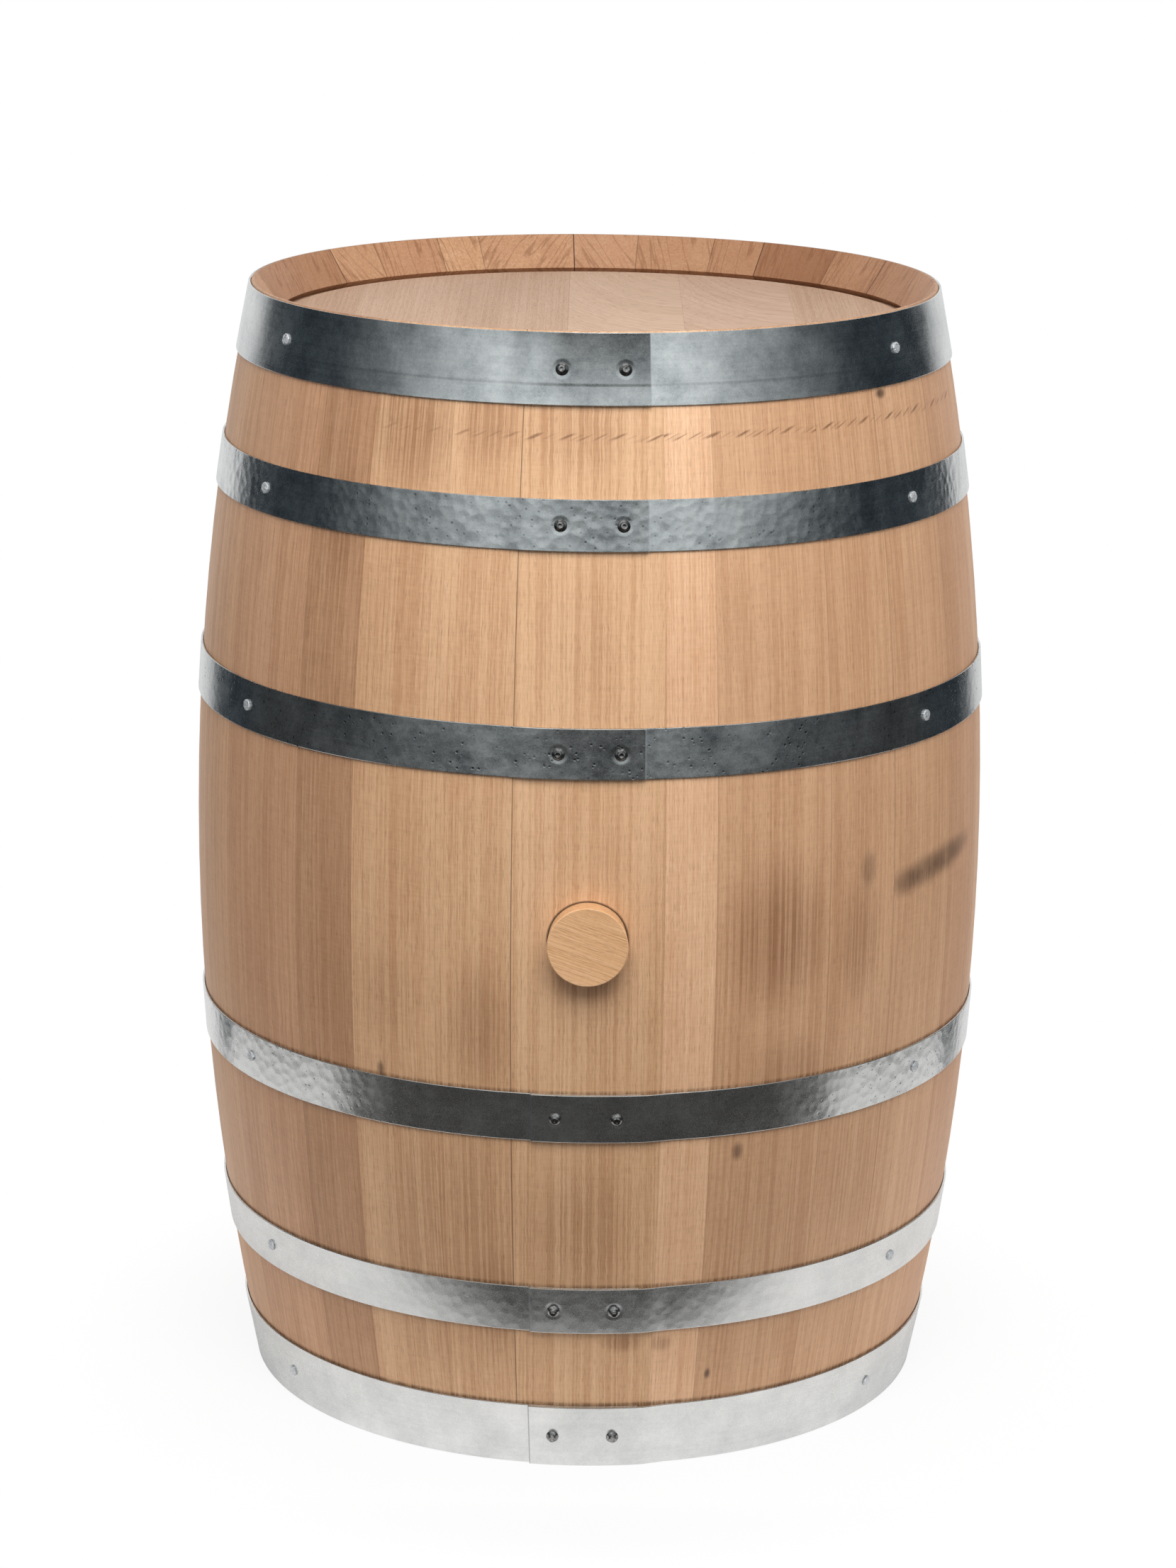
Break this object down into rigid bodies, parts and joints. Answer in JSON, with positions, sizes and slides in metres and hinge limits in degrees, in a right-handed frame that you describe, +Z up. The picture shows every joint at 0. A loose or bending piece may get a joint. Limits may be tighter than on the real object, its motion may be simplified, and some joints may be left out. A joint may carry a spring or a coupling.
{
  "type": "oak barrel",
  "caption": "Upright oak wine-aging barrel: curved tapered staves bound by riveted steel hoops, boarded heads set in grooves inside the chimes, and a taper bung that pulls out of the bilge",
  "frame": {"origin": "On the barrel's axis, in the plane of the stave ends that it stands on.", "axes": "+Z up along the barrel's axis, -Y out through the bung, +X to the right seen from the bung's side."},
  "size_m": [0.6757, 0.6959, 0.95],
  "materials": {
    "stave_oak": "sanded raw oak with straight grain along the stave",
    "head_oak": "pale sanded raw oak",
    "bung_oak": "turned raw oak",
    "hoop_steel": "galvanised strip with hammer marks",
    "fastener_steel": "bright hammered steel"
  },
  "bodies": {
    "barrel": {"bung_stave": "stave_oak", "stave_02": "stave_oak", "stave_03": "stave_oak", "stave_04": "stave_oak", "stave_05": "stave_oak", "stave_06": "stave_oak", "stave_07": "stave_oak", "stave_08": "stave_oak", "stave_09": "stave_oak", "stave_10": "stave_oak", "stave_11": "stave_oak", "stave_12": "stave_oak", "stave_13": "stave_oak", "stave_14": "stave_oak", "stave_15": "stave_oak", "stave_16": "stave_oak", "stave_17": "stave_oak", "stave_18": "stave_oak", "stave_19": "stave_oak", "stave_20": "stave_oak", "stave_21": "stave_oak", "stave_22": "stave_oak", "stave_23": "stave_oak", "stave_24": "stave_oak", "stave_25": "stave_oak", "stave_26": "stave_oak", "head_board_bottom_1": "head_oak", "head_board_bottom_2": "head_oak", "head_board_bottom_3": "head_oak", "head_board_bottom_4": "head_oak", "head_board_bottom_5": "head_oak", "head_board_bottom_6": "head_oak", "head_board_top_1": "head_oak", "head_board_top_2": "head_oak", "head_board_top_3": "head_oak", "head_board_top_4": "head_oak", "head_board_top_5": "head_oak", "head_board_top_6": "head_oak", "head_hoop_top": "hoop_steel", "quarter_hoop_top": "hoop_steel", "bilge_hoop_top": "hoop_steel", "bilge_hoop_bottom": "hoop_steel", "quarter_hoop_bottom": "hoop_steel", "head_hoop_bottom": "hoop_steel", "hoop_rivets": "fastener_steel", "hoop_nails": "fastener_steel"},
    "bung": {"bung": "bung_oak"}
  },
  "joints": [
    {"name": "bung_pull", "type": "slide", "parent": "barrel", "child": "bung", "axis": [0, -1, 0], "range_m": [0, 0.1]}
  ]
}
